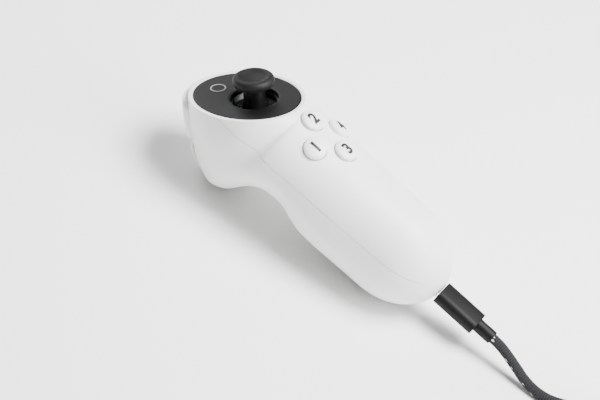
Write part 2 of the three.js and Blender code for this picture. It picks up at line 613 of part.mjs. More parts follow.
// ---------------------------------------------------------------- plug and strain relief
const plugEnd = -0.4;
const plug = new THREE.Group();
handle.add(plug);
const plugFrom = [plugEnd - PLUG_LENGTH, 0, -PORT_DROP];
const overmold = roundedBar(plugFrom, PLUG_LENGTH, PLUG_WIDTH, PLUG_HEIGHT, 1.4);
add(plug, "plug_overmold", overmold, BLACK, 0.55);
const tipShell = roundedBar([plugEnd + SEAT_GAP, 0, -PORT_DROP], PORT_DEPTH, PORT_WIDTH, PORT_HEIGHT, 1.1)
  .subtract(roundedBar([plugEnd + 2, 0, -PORT_DROP], PORT_DEPTH, PORT_WIDTH - 0.8, PORT_HEIGHT - 0.8, 0.7));
add(plug, "plug_tip", tipShell, STEEL, 0.3, 0.9);
const reliefStart = plugEnd - PLUG_LENGTH - SEAT_GAP - RELIEF_LENGTH;
const relief = rod([reliefStart, 0, -PORT_DROP], "x", RELIEF_LENGTH, RELIEF_DIAMETER, 20);
add(plug, "strain_relief", relief, BLACK, 0.6);

// ---------------------------------------------------------------- cable, hank, far plug
const CORD = 0x3a3a3b;
const rest = CORD_DIAMETER / 2 + 0.1; // centre of a cable that lies on the table
const reliefEnd = new THREE.Vector3(reliefStart - SEAT_GAP, 0, -PORT_DROP);
const cordStart = reliefEnd.applyMatrix4(handle.matrix);
const cordPoints = [
  [0, 0, 0],
  [4, -0.1, -0.8],
  [9, -0.5, -2.5],
  [15, -1.2, -5],
  [21, -1.9, -7.5],
  [27, -2.3, -8.7],
  [33, -1.8, -12],
  [39, 0.6, -12],
  [45, 4.6, -12],
  [51, 9.3, -12],
  [57, 13.4, -12],
  [64, 16.9, -12],
  [71, 18.5, -12],
  [80, 18.65, -12],
].map(([x, y, z]) => new THREE.Vector3(cordStart.x + x, y, Math.max(rest, cordStart.z + z)));

/** Cable of the cord's diameter along hand-placed points. */
function cable(points, steps) {
  const outline = new THREE.Shape().absarc(0, 0, CORD_DIAMETER / 2, 0, 2 * Math.PI);
  const path = new THREE.CatmullRomCurve3(points, false, "centripetal");
  return solid(new THREE.ExtrudeGeometry(outline, { steps, extrudePath: path, curveSegments: 4 }));
}
add(group, "cable", cable(cordPoints, 32), CORD, 0.9);

const hankInside = (HANK_FOLD - TURN_PITCH) / 2;
const hankOutside = hankInside + HANK_COLUMNS * TURN_PITCH;
const hankHeight = HANK_LAYERS * TURN_PITCH;
const hankLift = TIE_THICKNESS + 2 * SEAT_GAP; // the tie passes under the hank
const besideHank = hankOutside + CORD_DIAMETER / 2 + 2 * SEAT_GAP;
const cordEnd = cordPoints[cordPoints.length - 1];
const hankCentre = [cordEnd.x + HANK_RUN / 2 - 5, cordEnd.y - besideHank, 0];

/** Outline of two straight runs joined by half circles. */
function racetrack(path, radius) {
  path.moveTo(-HANK_RUN / 2, -radius);
  path.lineTo(HANK_RUN / 2, -radius);
  path.absarc(HANK_RUN / 2, 0, radius, -Math.PI / 2, Math.PI / 2);
  path.lineTo(-HANK_RUN / 2, radius);
  path.absarc(-HANK_RUN / 2, 0, radius, Math.PI / 2, 1.5 * Math.PI);
  return path;
}

/** Tied hank: all turns of the wound cable as one body with softened edges. */
function hank(corner) {
  const outline = racetrack(new THREE.Shape(), hankOutside - corner);
  outline.holes.push(racetrack(new THREE.Path(), hankInside + corner));
  const bevel = { bevelThickness: corner, bevelSize: corner, bevelSegments: 2 };
  const depth = hankHeight - 2 * corner;
  const shape = new THREE.ExtrudeGeometry(outline, { depth, ...bevel, curveSegments: 10 });
  return solid(shape.translate(0, 0, hankLift + corner));
}
add(group, "cable_coil", hank(2).translate(hankCentre), CORD, 0.9);

const tieAlong = 12; // from the hank's middle
const tieSide = hankOutside + SEAT_GAP;
const tieLow = hankLift - SEAT_GAP;
const tieHigh = hankLift + hankHeight + SEAT_GAP;
const tieHole = box([-TIE_WIDTH, -tieSide, tieLow], [TIE_WIDTH, tieSide, tieHigh]);
const tieOuter = box(
  [-TIE_WIDTH / 2, -tieSide - TIE_THICKNESS, tieLow - TIE_THICKNESS],
  [TIE_WIDTH / 2, tieSide + TIE_THICKNESS, tieHigh + TIE_THICKNESS],
);
const tie = tieOuter.subtract(tieHole).translate(tieAlong, 0, 0).translate(hankCentre);
add(group, "cable_tie", tie, 0x202021, 0.9);

const tailHeight = FAR_PLUG_HEIGHT / 2 + 0.1;
const plugAside = hankOutside + FAR_PLUG_WIDTH / 2 + 0.75;
const tailPoints = [
  [-6, besideHank, 6.6],
  [0, besideHank + 0.8, 5],
  [6, (besideHank + plugAside) / 2, 3.9],
  [12, plugAside - 0.8, tailHeight],
  [18, plugAside, tailHeight],
].map(([x, y, z]) => new THREE.Vector3(hankCentre[0] + x, hankCentre[1] + y, z));
add(group, "cable_tail", cable(tailPoints, 12), CORD, 0.9);

const tailEnd = tailPoints[tailPoints.length - 1];
/** Point a distance past the tail's end, on the far plug's axis. */
const pastTail = (x) => [tailEnd.x + x, tailEnd.y, tailEnd.z];
const farRelief = rod(pastTail(SEAT_GAP), "x", RELIEF_LENGTH, RELIEF_DIAMETER, 20);
add(group, "far_strain_relief", farRelief, BLACK, 0.6);
const gripFrom = RELIEF_LENGTH + 2 * SEAT_GAP;
const grip = roundedBar(pastTail(gripFrom), FAR_PLUG_LENGTH, FAR_PLUG_WIDTH, FAR_PLUG_HEIGHT, 1.6);
add(group, "far_plug", grip, BLACK, 0.55);
const tipFrom = gripFrom + FAR_PLUG_LENGTH + SEAT_GAP;
const tipRoom = [FAR_TIP_WIDTH - 0.8, FAR_TIP_HEIGHT - 0.8];
const tipHollow = roundedBar(pastTail(tipFrom + 1), FAR_TIP_LENGTH, ...tipRoom, 0.3);
const tongue = roundedBar(pastTail(tipFrom), FAR_TIP_LENGTH - 0.6, FAR_TIP_WIDTH - 0.8, 1.8, 0.2);
const farTip = roundedBar(pastTail(tipFrom), FAR_TIP_LENGTH, FAR_TIP_WIDTH, FAR_TIP_HEIGHT, 0.5)
  .subtract(tipHollow)
  .add(tongue.translate(0, 0, -0.9));
add(group, "far_plug_tip", farTip, STEEL, 0.3, 0.9);

export default group;
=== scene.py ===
"""One-handed stick controller: fine shells, stick, buttons, plugs, braided cable and materials."""

import json
import math

import bmesh
import bpy
import numpy as np
from mathutils import Matrix, Vector


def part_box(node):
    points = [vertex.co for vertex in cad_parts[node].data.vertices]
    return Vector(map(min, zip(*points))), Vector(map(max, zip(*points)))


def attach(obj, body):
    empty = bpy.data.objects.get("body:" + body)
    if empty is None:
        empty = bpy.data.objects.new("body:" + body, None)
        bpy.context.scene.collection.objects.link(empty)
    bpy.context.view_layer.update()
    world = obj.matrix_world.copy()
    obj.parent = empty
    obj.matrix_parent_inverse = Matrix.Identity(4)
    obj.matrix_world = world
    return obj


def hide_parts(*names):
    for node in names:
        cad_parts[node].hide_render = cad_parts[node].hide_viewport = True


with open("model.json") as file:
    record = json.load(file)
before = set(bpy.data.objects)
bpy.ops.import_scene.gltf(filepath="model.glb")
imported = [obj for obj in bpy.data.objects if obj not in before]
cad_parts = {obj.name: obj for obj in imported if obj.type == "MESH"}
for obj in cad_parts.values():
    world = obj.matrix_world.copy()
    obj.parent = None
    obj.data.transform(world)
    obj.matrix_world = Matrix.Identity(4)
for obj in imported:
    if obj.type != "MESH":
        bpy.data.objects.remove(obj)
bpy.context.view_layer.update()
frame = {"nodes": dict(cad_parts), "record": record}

# ------------------------------------------------------------------ sizes, in millimetres
MM = 0.001
HANDLE_RADIUS = 21.4
END_ROUNDING = 27.0
NECK_START = 90.0
PLATE_REAR = 94.0
PLATE_TILT = math.radians(32.5)
REST_TILT = math.radians(10.1)
AXIS_HEIGHT = 17.8
CENTRE_X = 55.15
WALL = 2.0
SEAM_HEIGHT = 6.9
SEAM_GAP = 0.26
SEAT_GAP = 0.3
RUNNING_GAP = 0.4
TRIGGER_ROOM = 0.95  # added round the trigger, whose lower edge swings inwards

UNDERSIDE = [(27, 22.7), (50, 22.7), (60, 22.3), (67, 19.8), (74, 16.6), (82, 16.2), (90, 19.7)]
HALF_WIDTH = [(27, 21.9), (60, 23.1), (75, 22.6), (90, 23.7)]
HEAD_REACH = [(0.04, 46.4), (0.09, 52.6), (0.15, 58.4), (0.3, 64.6), (0.5, 62.1), (0.7, 58.7),
              (0.85, 57.8), (1, 57.2)]
HEAD_HALF_WIDTH = [(0.25, 24), (0.6, 24.3), (1, 22.1)]

RIM_WIDTH = 2.0
PLATE_THICKNESS = 1.6
WELL_OFFSET = -3.9
WELL_RADIUS = 10.35
WELL_LIP = 9.55  # inner radius of the ring under the well
WELL_DEPTH = 4.5
# ends of the painted lit arc: the part of the well's inner wall that faces the light
LIT_ARC_START, LIT_ARC_END = math.radians(-80), math.radians(10)
MARK_OFFSET = 14.8
MARK_RADIUS = 3.5
PIVOT_DEPTH = 10.0
CAP_RADIUS = 9.0
CAP_TOP = 10.5
CAP_HEIGHT = 4.2
CAP_DISH = 1.6
DISH_TURN = 0.5  # how far past its top the shoulder turns before the dish starts
DOME_RADIUS = 7.6
POST_RADIUS = 4.7
SHOULDER = 2.1  # radius of the cap's round shoulder

BUTTON_RADIUS = 5.0
BUTTON_SPACING = 19.0
BUTTON_CENTRE = PLATE_REAR - 17
BUTTON_RAISE = 1.1
BUTTON_DOME = 0.9
BUTTON_FLOOR = -WALL - 2.4
BUTTON_GAP = 0.3
BUTTON_CHAMFER = 0.75  # reach of the hole's chamfer past the button

BUMPER_RAISE = 2.4
TRIGGER_RAISE = 2.0
CONTROL_THICKNESS = 2.2

PORT_DROP = 1.6
PLUG_WIDTH = 11.8
PLUG_HEIGHT = 6.5
PLUG_LENGTH = 20.4
PLUG_END = -0.4
RELIEF_RADIUS = 3.0
RELIEF_LENGTH = 7.6
RELIEF_LAP = 0.6  # how far a relief reaches over the start of the cable
PORT_WIDTH = 8.3
PORT_HEIGHT = 2.4

CORD_DIAMETER = 4.4
HANK_RUN = 70.0
HANK_FOLD = 27.0
HANK_LAYERS = 6
TURN_PITCH = 4.5
HANK_LIFT = 1.8
LEAVES = 0.07  # share of the last turn at which the cable leaves the hank
FAR_PLUG_WIDTH = 15.6
FAR_PLUG_HEIGHT = 7.4


# ------------------------------------------------------------------ numbers and places
def smooth(pairs):
    """Curve through pairs that never overshoots them: cubic pieces with harmonic mean slopes."""
    x, y = np.array(pairs, float).T
    step = np.diff(y) / np.diff(x)
    slope = np.zeros_like(y)
    slope[0], slope[-1] = step[0], step[-1]
    both = step[:-1] * step[1:]
    total = np.where(both > 0, step[:-1] + step[1:], 1)
    slope[1:-1] = np.where(both > 0, 2 * both / total, 0)

    def curve(at):
        at = np.clip(at, x[0], x[-1])
        i = np.clip(np.searchsorted(x, at, side="left") - 1, 0, len(x) - 2)
        width = x[i + 1] - x[i]
        t = (at - x[i]) / width
        rest = 1 - t
        ends = y[i] * (1 + 2 * t) * rest ** 2 + y[i + 1] * t ** 2 * (3 - 2 * t)
        return ends + width * (slope[i] * t * rest ** 2 - slope[i + 1] * t ** 2 * rest)

    return curve


def basis(x_axis, y_axis, z_axis, origin):
    """4 x 4 matrix of a place with these axes."""
    place = np.eye(4)
    place[:3, 0], place[:3, 1], place[:3, 2], place[:3, 3] = x_axis, y_axis, z_axis, origin
    return place


def shifted(place, x=0.0, y=0.0, z=0.0):
    """The same place, moved along its own axes."""
    move = np.eye(4)
    move[:3, 3] = x, y, z
    return place @ move


def turned_about_x(place, angle):
    """The same place, turned about its own x axis."""
    c, s = math.cos(angle), math.sin(angle)
    return place @ basis((1, 0, 0), (0, c, s), (0, -s, c), (0, 0, 0))


TABLE = np.eye(4)
HANDLE = basis(
    (-math.cos(REST_TILT), 0, math.sin(REST_TILT)),
    (0, -1, 0),
    (math.sin(REST_TILT), 0, math.cos(REST_TILT)),
    (CENTRE_X, 0, AXIS_HEIGHT),
)
FAN_ANGLE = math.pi / 2 - PLATE_TILT
PIVOT_RAISE = (PLATE_REAR - NECK_START) * math.tan(PLATE_TILT)
PLATE_NEAR = PIVOT_RAISE / math.sin(PLATE_TILT)
PLATE_HALF = (HEAD_REACH[-1][1] - PLATE_NEAR) / 2
PLATE_MIDDLE = PLATE_NEAR + PLATE_HALF
PLATE_SIDE = HEAD_HALF_WIDTH[-1][1]
PLATE = HANDLE @ basis(
    (math.cos(PLATE_TILT), 0, -math.sin(PLATE_TILT)),
    (0, 1, 0),
    (math.sin(PLATE_TILT), 0, math.cos(PLATE_TILT)),
    (NECK_START + PLATE_MIDDLE * math.cos(PLATE_TILT), 0,
     HANDLE_RADIUS + PIVOT_RAISE - PLATE_MIDDLE * math.sin(PLATE_TILT)),
)
STICK = shifted(PLATE, x=WELL_OFFSET, z=-PIVOT_DEPTH)

underside_of = smooth(UNDERSIDE)
half_width_of = smooth(HALF_WIDTH)
reach_of = smooth([(0, HANDLE_RADIUS + PIVOT_RAISE + float(underside_of(NECK_START)))] + HEAD_REACH)
head_width_of = smooth([(0, float(half_width_of(NECK_START)))] + HEAD_HALF_WIDTH)


def body_surface(along, around, out=0.0):
    """Point of the body in the handle frame. along is 0 to 1 over the rounded end, 1 to 2 up the
    straight handle and 2 to 3 as the section turns about a pivot over the plate's rear edge.
    Each section is an ellipse between a top and a bottom point of the mid plane; around is its
    angle from the top, and out lifts the surface."""
    along, around, out = np.broadcast_arrays(along, around, out)
    turn = np.clip(along, 0, 1) * math.pi / 2
    share = np.sin(turn)
    straight = END_ROUNDING + (NECK_START - END_ROUNDING) * np.clip(along - 1, 0, 1)
    x = np.where(along < 1, END_ROUNDING - (END_ROUNDING + out) * np.cos(turn), straight)
    top = (HANDLE_RADIUS + out) * share
    bottom = -(underside_of(np.maximum(x, END_ROUNDING)) + out) * share
    width = (half_width_of(np.maximum(x, END_ROUNDING)) + out) * share
    fan = np.clip(along - 2, 0, 1)
    angle = FAN_ANGLE * fan
    drop = out / math.cos(PLATE_TILT)
    pivot = HANDLE_RADIUS + PIVOT_RAISE + drop
    near = (pivot - HANDLE_RADIUS - out) / np.cos(angle)
    far = reach_of(fan) + out + drop * np.cos(angle)
    head = along > 2
    top_x = np.where(head, NECK_START + np.sin(angle) * near, x)
    top_z = np.where(head, pivot - np.cos(angle) * near, top)
    low_x = np.where(head, NECK_START + np.sin(angle) * far, x)
    low_z = np.where(head, pivot - np.cos(angle) * far, bottom)
    width = np.where(head, head_width_of(fan) + out, width)
    down = (1 - np.cos(around)) / 2
    return np.stack([
        top_x + (low_x - top_x) * down,
        width * np.sin(around),
        top_z + (low_z - top_z) * down,
    ], -1)


# ------------------------------------------------------------------ meshes
def grid_faces(rows, columns, wrap=True):
    """Quads between neighbouring points of a rows x columns grid."""
    last = columns if wrap else columns - 1
    row, column = np.meshgrid(np.arange(rows - 1), np.arange(last), indexing="ij")
    beside = (column + 1) % columns
    a, b = row * columns + column, row * columns + beside
    return np.stack([a, a + columns, b + columns, b], -1).reshape(-1, 4)


def new_mesh(name, points, faces, place=TABLE, smooth_angle=35.0):
    """Mesh object at the origin from points in millimetres of a place."""
    points = np.asarray(points, float).reshape(-1, 3)
    world = (points @ place[:3, :3].T + place[:3, 3]) * MM
    mesh = bpy.data.meshes.new(name)
    mesh.from_pydata(world.tolist(), [], [list(f) for f in faces])
    mesh.validate()
    piece = bpy.data.objects.new(name, mesh)
    bpy.context.scene.collection.objects.link(piece)
    face_outwards(piece)
    finish_shading(piece, smooth_angle)
    return piece


def face_outwards(piece):
    """Turns every face of a closed mesh outwards."""
    work = bmesh.new()
    work.from_mesh(piece.data)
    bmesh.ops.remove_doubles(work, verts=work.verts, dist=1e-7)
    bmesh.ops.recalc_face_normals(work, faces=work.faces)
    work.to_mesh(piece.data)
    work.free()


def finish_shading(piece, angle):
    """Smooth faces, with edges sharper than the angle kept sharp."""
    mesh = piece.data
    mesh.polygons.foreach_set("use_smooth", np.ones(len(mesh.polygons), bool))
    mesh.set_sharp_from_angle(angle=math.radians(angle))


def closed_grid(name, grid, place, smooth_angle=35.0):
    """Closed piece from a grid whose rows wrap round; its first and last rows are closed."""
    rows, columns = grid.shape[:2]
    faces = [list(f) for f in grid_faces(rows, columns)]
    faces.append(list(range(columns)))
    faces.append(list(range((rows - 1) * columns, rows * columns))[::-1])
    return new_mesh(name, grid, faces, place, smooth_angle)


def around_axis(name, profile, place, sides=96, ripple=None, smooth_angle=35.0):
    """Solid of revolution about z: each profile point is a radius and a height, and ripple adds
    to the radius as a function of angle and height."""
    profile = np.array(profile, float)
    angle = np.linspace(0, 2 * math.pi, sides, endpoint=False)
    radius = np.repeat(profile[:, :1], sides, 1)
    height = np.repeat(profile[:, 1:], sides, 1)
    if ripple is not None:
        radius = radius + ripple(angle[None], height)
    grid = np.stack([radius * np.cos(angle), radius * np.sin(angle), height], -1)
    return closed_grid(name, grid, place, smooth_angle)


def rounded_outline(width, height, radius, steps=6):
    """Rectangle with round corners, anticlockwise: four quarter circles."""
    turn = np.linspace(0, math.pi / 2, steps + 1)
    corner = np.array([(1, 1), (-1, 1), (-1, -1), (1, -1)])
    points = []
    for i, (side, up) in enumerate(corner):
        angle = turn + i * math.pi / 2
        centre = side * (width / 2 - radius), up * (height / 2 - radius)
        points.append(np.stack([centre[0] + radius * np.cos(angle),
                                centre[1] + radius * np.sin(angle)], -1))
    return np.concatenate(points)


def bar(name, start, length, width, height, radius, place, edge=0.3, end_edge=None):
    """Bar along x with round corners; its section shrinks over a quarter circle at both ends."""
    end_edge = edge if end_edge is None else end_edge
    turn = np.linspace(0, math.pi / 2, 5)
    first = [(edge * (1 - math.cos(t)), edge * (1 - math.sin(t))) for t in turn]
    last = [(length - end_edge * (1 - math.cos(t)), end_edge * (1 - math.sin(t)))
            for t in turn[::-1]]
    rows = []
    for x, inset in first + last:
        outline = rounded_outline(width - 2 * inset, height - 2 * inset, max(radius - inset, 0.05))
        rows.append(np.column_stack([np.full(len(outline), start[0] + x),
                                     start[1] + outline[:, 0], start[2] + outline[:, 1]]))
    return closed_grid(name, np.array(rows), place)


def carve(piece, cutter):
    """Cuts one closed solid from another, keeps the result in its mesh and removes the cutter."""
    change = piece.modifiers.new("cut", "BOOLEAN")
    change.operation = "DIFFERENCE"
    change.solver = "MANIFOLD"
    change.object = cutter
    result = piece.evaluated_get(bpy.context.evaluated_depsgraph_get())
    mesh = bpy.data.meshes.new_from_object(result)
    piece.modifiers.clear()
    old = piece.data
    piece.data = mesh
    mesh.name = piece.name
    bpy.data.meshes.remove(old)
    shape = cutter.data
    bpy.data.objects.remove(cutter)
    bpy.data.meshes.remove(shape)
    return piece


def copy_of(piece, name):
    """Copy of a piece with a mesh of its own."""
    twin = piece.copy()
    twin.data = piece.data.copy()
    twin.name = name
    bpy.context.scene.collection.objects.link(twin)
    return twin


def block(low, high, place):
    """Box between two corners of a place, for cutting."""
    corners = np.array([(x, y, z) for x in (0, 1) for y in (0, 1) for z in (0, 1)], float)
    points = np.array(low) + corners * (np.array(high) - np.array(low))
    faces = [(0, 1, 3, 2), (4, 6, 7, 5), (0, 4, 5, 1), (2, 3, 7, 6), (0, 2, 6, 4), (1, 5, 7, 3)]
    return new_mesh("cutter", points, faces, place)


# ------------------------------------------------------------------ materials
def linear(code):
    """sRGB hex colour as linear RGBA."""
    value = np.array([int(code[i:i + 2], 16) / 255 for i in (1, 3, 5)])
    low, high = value / 12.92, ((value + 0.055) / 1.055) ** 2.4
    return (*np.where(value <= 0.04045, low, high).tolist(), 1.0)


def add(tree, kind, links=None, values=None, **settings):
    """Adds a node: settings are its properties, values its inputs, links its input wires."""
    node = tree.nodes.new(kind)
    for key, value in settings.items():
        setattr(node, key, value)
    for key, value in (values or {}).items():
        node.inputs[key].default_value = value
    for key, socket in (links or {}).items():
        tree.links.new(socket, node.inputs[key])
    return node


def plain(name, code, roughness, metallic=0.0, ior=1.5):
    """Material with one surface shader; returns it with its node tree and shader."""
    material = bpy.data.materials.new(name)
    material.use_nodes = True
    tree = material.node_tree
    shader = tree.nodes["Principled BSDF"]
    shader.inputs["Base Color"].default_value = linear(code)
    shader.inputs["Roughness"].default_value = roughness
    shader.inputs["Metallic"].default_value = metallic
    if not metallic:
        shader.inputs["IOR"].default_value = ior
    return material, tree, shader


def grained(name, code, roughness, grain, depth, spread=0.05, metallic=0.0, ior=1.5):
    """Surface with a spark-eroded grain: noise of the grain's size in millimetres drives a
    bump of that depth and varies the roughness a little."""
    material, tree, shader = plain(name, code, roughness, metallic, ior)
    place = add(tree, "ShaderNodeTexCoord").outputs["Object"]
    noise = add(tree, "ShaderNodeTexNoise", {"Vector": place},
                {"Scale": 1000 / grain, "Detail": 2.0, "Roughness": 0.6})
    bump = add(tree, "ShaderNodeBump", {"Height": noise.outputs["Fac"]},
               {"Strength": 0.5, "Distance": depth * MM})
    tree.links.new(bump.outputs["Normal"], shader.inputs["Normal"])
    rough = add(tree, "ShaderNodeMapRange", {"Value": noise.outputs["Fac"]},
                {"To Min": roughness - spread, "To Max": roughness + spread})
    tree.links.new(rough.outputs["Result"], shader.inputs["Roughness"])
    return material


THREAD_PERIOD = 2.0  # along the cable
THREADS_AROUND = 14.0
PALE_SHARE = 0.015


def braided_nylon():
    """Woven nylon sleeve: two sets of threads cross on the diagonal, dark grey, with a few pale
    threads that show as short white flecks. The colour also carries painted light and shade: the
    weave's height lightens the thread tops and darkens the hollows between them. The pattern uses the
    cable's own length and girth."""
    material, tree, shader = plain("braided nylon sleeve", "#1C1C1D", 0.75, ior=1.3)
    uv = add(tree, "ShaderNodeUVMap", uv_map="sleeve").outputs["UV"]
    parts = add(tree, "ShaderNodeSeparateXYZ", {"Vector": uv})
    heights = []
    cells = []
    for sign in (1, -1):
        along = add(tree, "ShaderNodeMath", {0: parts.outputs["X"]}, {1: sign / (THREAD_PERIOD * MM)},
                    operation="MULTIPLY")
        count = add(tree, "ShaderNodeMath", {0: parts.outputs["Y"]}, {1: THREADS_AROUND},
                    operation="MULTIPLY")
        phase = add(tree, "ShaderNodeMath", {0: along.outputs[0], 1: count.outputs[0]},
                    operation="ADD")
        cell = add(tree, "ShaderNodeMath", {0: phase.outputs[0]}, operation="FLOOR")
        cells.append(cell.outputs[0])
        turn = add(tree, "ShaderNodeMath", {0: phase.outputs[0]}, {1: 2 * math.pi},
                   operation="MULTIPLY")
        wave = add(tree, "ShaderNodeMath", {0: turn.outputs[0]}, operation="COSINE")
        heights.append(wave.outputs[0])
    weave = add(tree, "ShaderNodeMath", {0: heights[0], 1: heights[1]}, operation="MULTIPLY")
    cell = add(tree, "ShaderNodeCombineXYZ", {"X": cells[0], "Y": cells[1]})
    chance = add(tree, "ShaderNodeTexWhiteNoise", {"Vector": cell.outputs[0]},
                 noise_dimensions="2D")
    fleck = add(tree, "ShaderNodeMath", {0: chance.outputs["Value"]}, {1: 1 - PALE_SHARE},
                operation="GREATER_THAN")
    # painted light and shade: thread tops lighter, hollows between threads darker, following the
    # weave's height
    shade = add(tree, "ShaderNodeMapRange", {"Value": weave.outputs[0]},
                {"From Min": -1.0, "From Max": 1.0, "To Min": 0.0, "To Max": 1.0})
    yarn_with_painted_shade = add(tree, "ShaderNodeMix", {"Factor": shade.outputs["Result"]}, data_type="RGBA")
    yarn_with_painted_shade.inputs[6].default_value = linear("#0E0E0F")
    yarn_with_painted_shade.inputs[7].default_value = linear("#303032")
    colour = add(tree, "ShaderNodeMix", {"Factor": fleck.outputs[0]}, data_type="RGBA")
    tree.links.new(yarn_with_painted_shade.outputs[2], colour.inputs[6])
    colour.inputs[7].default_value = linear("#E4E4E2")
    tree.links.new(colour.outputs[2], shader.inputs["Base Color"])
    bump = add(tree, "ShaderNodeBump", {"Height": weave.outputs[0]},
               {"Strength": 0.8, "Distance": 0.16 * MM})
    tree.links.new(bump.outputs["Normal"], shader.inputs["Normal"])
    return material


# Satin spark-eroded ABS: soft broad highlights, very fine even grain.
WHITE_SHELL = grained("white moulded ABS", "#EFEFED", 0.42, 0.35, 0.012)
# The same ABS from a smoother tool, so that pressed parts catch a tighter highlight.
WHITE_SMOOTH = grained("white smooth ABS", "#F1F1EF", 0.30, 0.5, 0.006)
# Matt black ABS plate: dark with a dull sheen.
BLACK_PLATE = grained("black satin ABS", "#080809", 0.5, 0.3, 0.012, ior=1.3)
# Silicone rubber cap: dull, with a soft wide highlight.
STICK_RUBBER = grained("black silicone rubber", "#0A0A0B", 0.6, 0.25, 0.02, ior=1.33)
# Stick skirt: smooth black acetal, slick from rubbing.
ACETAL = grained("black acetal", "#080809", 0.38, 0.5, 0.004, ior=1.42)
# Light grey moulded plastic; also a painted light, the lit arc inside the stick's well, pale only
# where light falls on its wall.
GREY_PLASTIC_AND_LIT_ARC = grained("light grey ABS and painted lit arc", "#B9BABA", 0.4, 0.4, 0.008)
# The plate's printed ring mark: a dull mid grey.
MARK_GREY = grained("mid grey print", "#77787A", 0.5, 0.4, 0.004)
# Soft plastic of the plug grips: fine matt grain.
PLUG_GRIP = grained("black moulded PVC", "#090909", 0.55, 0.3, 0.015, ior=1.27)
# Bright nickel-plated steel: plug shells, pins and springs.
NICKEL = grained("nickel-plated steel", "#C9CACC", 0.22, 0.8, 0.002, metallic=1.0)
# Green solder mask over glass laminate.
SOLDER_MASK = grained("green solder mask", "#1E4A33", 0.35, 0.8, 0.006)
# Epoxy chip bodies.
EPOXY = grained("black epoxy", "#202021", 0.55, 0.3, 0.01)
# Moulded dark blue resin of the tilt sensors, glimpsed in the stick's well.
BLUE_RESIN = grained("dark blue resin", "#10161F", 0.4, 0.5, 0.006)
# Grey silicone button pad.
GREY_SILICONE = grained("grey silicone", "#8E9194", 0.6, 0.4, 0.01)
# Pad-printed dark ink of the numerals.
INK = grained("dark printed ink", "#1A1A1C", 0.5, 0.3, 0.004)
# Nylon hook-and-loop strip: dull and fuzzy.
STRIP = grained("black nylon strip", "#1B1B1C", 0.9, 0.5, 0.15)
BRAID = braided_nylon()

SLOT_MATERIALS = {
    "white_shell": WHITE_SHELL,
    "white_gloss": WHITE_SMOOTH,
    "black_plate": BLACK_PLATE,
    "black_plastic": PLUG_GRIP,
    "stick_rubber": STICK_RUBBER,
    "grey_plastic": GREY_PLASTIC_AND_LIT_ARC,
    "grey_silicone": GREY_SILICONE,
    "steel": NICKEL,
    "circuit_board": SOLDER_MASK,
    "component_black": EPOXY,
    "component_blue": BLUE_RESIN,
    "cable_braid": BRAID,
    "tie_fabric": STRIP,
}
for entry in frame["record"]["subparts"]:
    node = frame["nodes"][entry["node"]]
    node.data.materials.clear()
    node.data.materials.append(SLOT_MATERIALS[entry["material_slot"]])


def finish_piece(piece, material, body, slot, *nodes):
    """Gives a piece its material and body and hides the CAD nodes it stands for; the slot is not
    used.
    """
    piece.data.materials.clear()
    piece.data.materials.append(material)
    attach(piece, body)
    if nodes:
        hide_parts(*nodes)


# ------------------------------------------------------------------ shells
NECK_MIDDLE = 2.02
NECK_SPREAD = 0.2
NECK_PASSES = 1 / 150  # times the square of the number of rows in the head


def body_solid(name, out, columns, rows):
    """Closed body: the surface formula on a grid, with a pole at the tip and a flat last row. Where
    the handle meets the head the rows are averaged with their neighbours, which rounds the bend."""
    ends = np.linspace(0, 1, rows[0] + 1)[1:]
    handle = np.linspace(1, 2, rows[1] + 1)[1:]
    head = np.linspace(2, 3, rows[2] + 1)[1:]
    along = np.concatenate([ends, handle, head])[:, None]
    around = np.linspace(0, 2 * math.pi, columns, endpoint=False)[None]
    grid = body_surface(along, around, out)
    bend = np.clip(1 - np.abs(along[:, :1] - NECK_MIDDLE) / NECK_SPREAD, 0, 1)
    for _ in range(round(NECK_PASSES * rows[2] ** 2)):
        even = (grid[:-2] + 2 * grid[1:-1] + grid[2:]) / 4
        grid[1:-1] += (even - grid[1:-1]) * bend[1:-1, :, None]
    tip = np.full((1, columns, 3), (-out, 0, 0)) + 0.02 * (grid[:1] - (-out, 0, 0))
    return closed_grid(name, np.concatenate([tip, grid]), HANDLE)


def upright_ellipse(half_length, half_width, low, high, flare=0.0, sides=128):
    """Elliptical disc of the plate's frame; flare widens its top edge for a chamfer."""
    angle = np.linspace(0, 2 * math.pi, sides, endpoint=False)
    rows = []
    for height, grow in ((low, 0.0), (-flare, 0.0), (0.0, flare), (high, flare)):
        rows.append(np.stack([(half_length + grow) * np.cos(angle),
                              (half_width + grow) * np.sin(angle), angle * 0 + height], -1))
    return closed_grid("cutter", np.array(rows), PLATE)


CONTROL_PATCHES = {
    # name: (share at the lower end, share at the top, half width, how far it stands out)
    "bumper": (0.602, 0.951, 13.5, BUMPER_RAISE),
    "trigger": (0.366, 0.579, 11.5, TRIGGER_RAISE),
}


